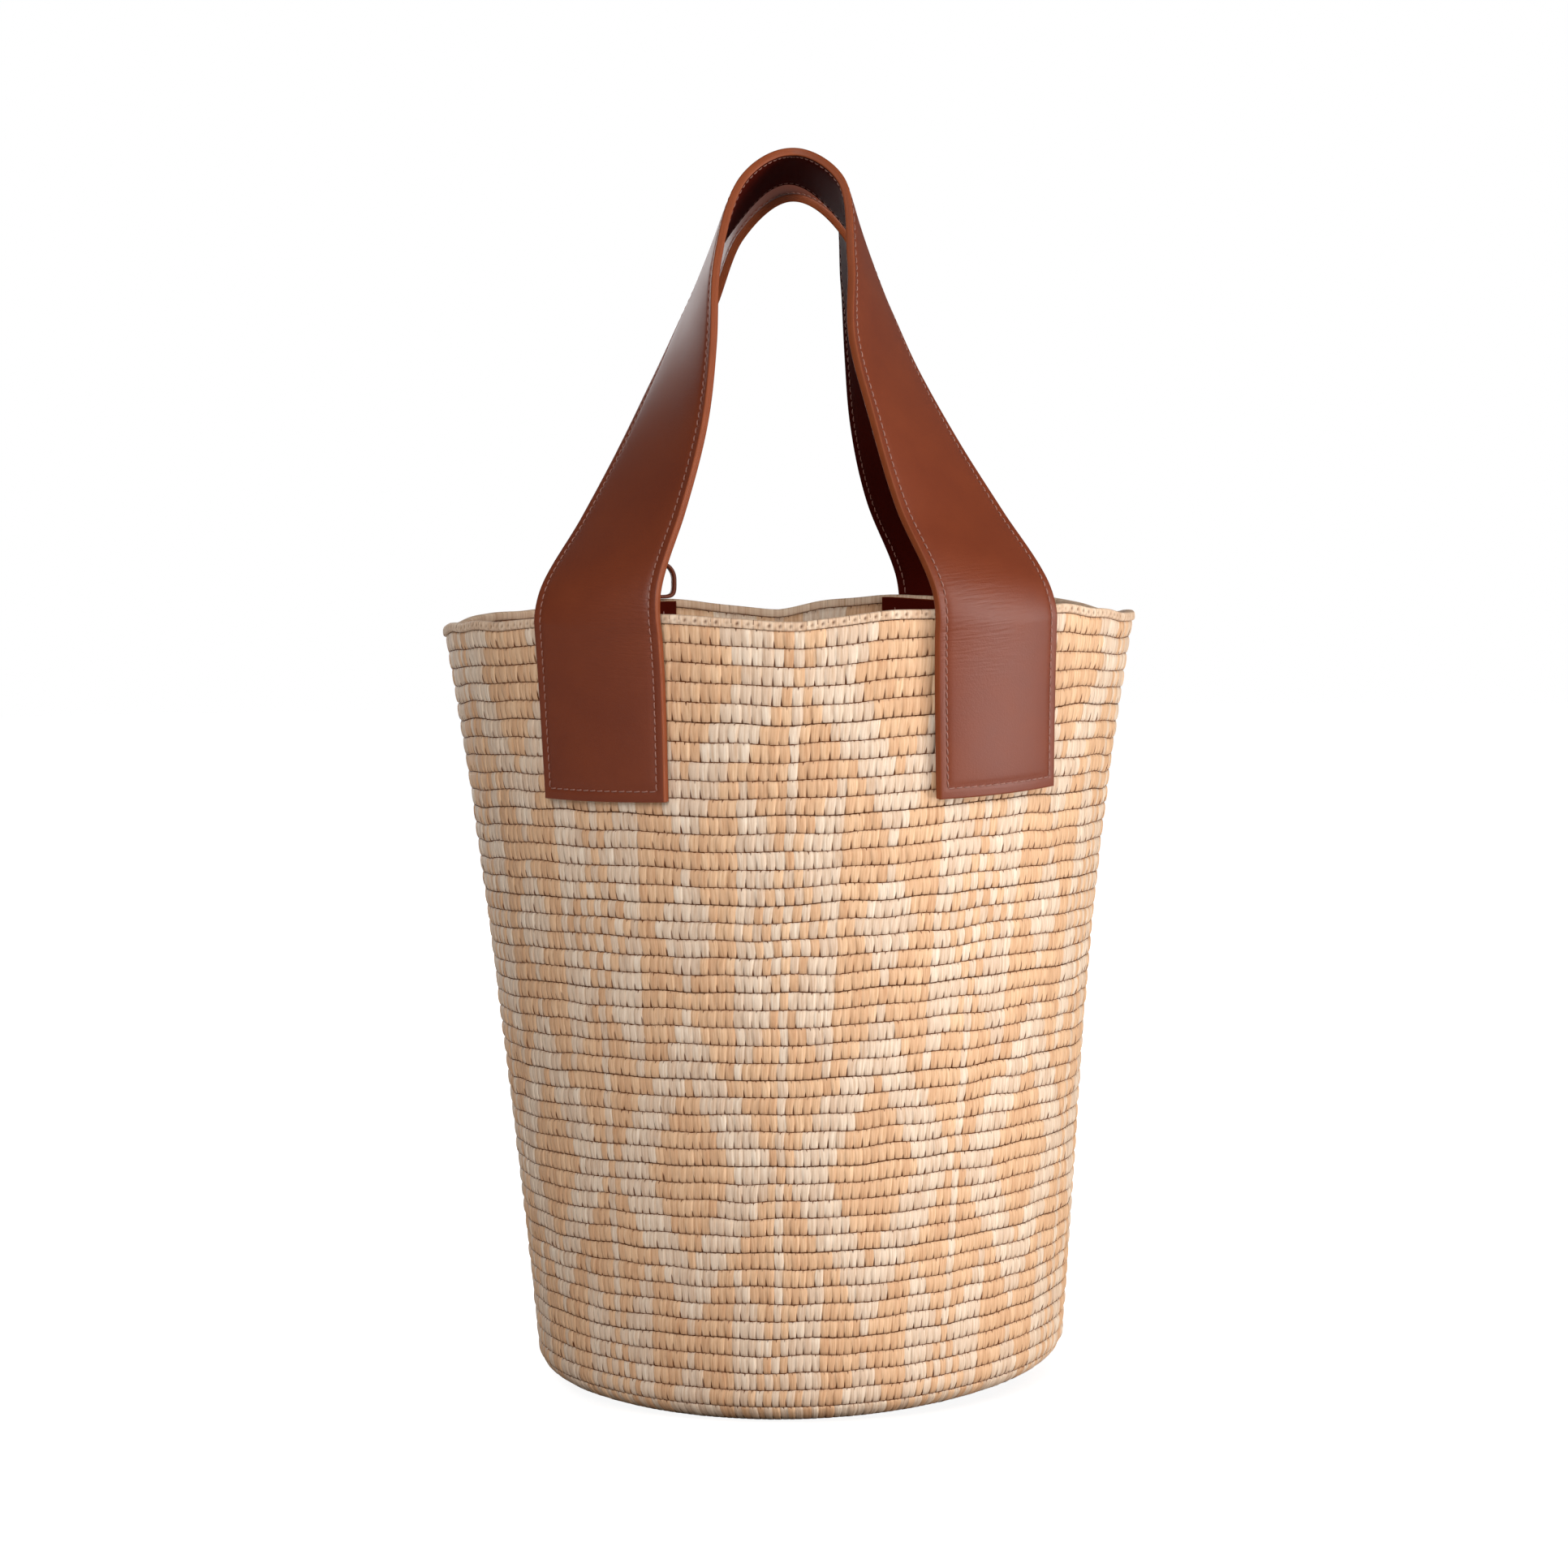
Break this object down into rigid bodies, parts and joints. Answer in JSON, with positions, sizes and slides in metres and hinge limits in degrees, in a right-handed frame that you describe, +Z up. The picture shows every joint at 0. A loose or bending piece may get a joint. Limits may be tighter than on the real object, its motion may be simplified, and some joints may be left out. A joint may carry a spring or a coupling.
{
  "type": "raffia basket with leather handles",
  "caption": "Tall round crocheted raffia basket, flaring to an open top, with wide leather strap handles sewn to its outside and leather patches behind their feet.",
  "frame": {"origin": "middle of the underside of the base", "axes": "+Z up from the base to the handles; the front handle is towards -Y and the back handle towards +Y; +X to the right seen from the front"},
  "size_m": [0.3048, 0.3048, 0.5323],
  "materials": {
    "raffia": "matte crocheted raffia in cream and peach",
    "raffia_edging": "matte chained raffia edging",
    "outer_leather": "smooth fine-grained tan leather with painted edges",
    "lining_leather": "smooth dark brown leather lining",
    "thread": "waxed sewing thread"
  },
  "bodies": {
    "root": {"raffia_wall": "raffia", "raffia_base": "raffia", "rim_edging": "raffia_edging", "small_loop": "lining_leather", "front_left_foot_outer": "outer_leather", "front_left_foot_lining": "lining_leather", "front_left_foot_seam": "thread", "front_left_inner_patch": "lining_leather", "front_right_foot_outer": "outer_leather", "front_right_foot_lining": "lining_leather", "front_right_foot_seam": "thread", "front_right_inner_patch": "lining_leather", "back_left_foot_outer": "outer_leather", "back_left_foot_lining": "lining_leather", "back_left_foot_seam": "thread", "back_left_inner_patch": "lining_leather", "back_right_foot_outer": "outer_leather", "back_right_foot_lining": "lining_leather", "back_right_foot_seam": "thread", "back_right_inner_patch": "lining_leather"},
    "front_handle": {"front_handle_outer": "outer_leather", "front_handle_lining": "lining_leather", "front_handle_outward_seam": "thread", "front_handle_middle_seam": "thread"},
    "back_handle": {"back_handle_outer": "outer_leather", "back_handle_lining": "lining_leather", "back_handle_outward_seam": "thread", "back_handle_middle_seam": "thread"}
  },
  "joints": [
    {"name": "front_handle_swing", "type": "hinge", "parent": "root", "child": "front_handle", "pos_m": [0, -0.1475, 0.337], "axis": [1, 0, 0], "range_deg": [0, 90]},
    {"name": "back_handle_swing", "type": "hinge", "parent": "root", "child": "back_handle", "pos_m": [0, 0.1475, 0.337], "axis": [-1, 0, 0], "range_deg": [0, 90]}
  ]
}
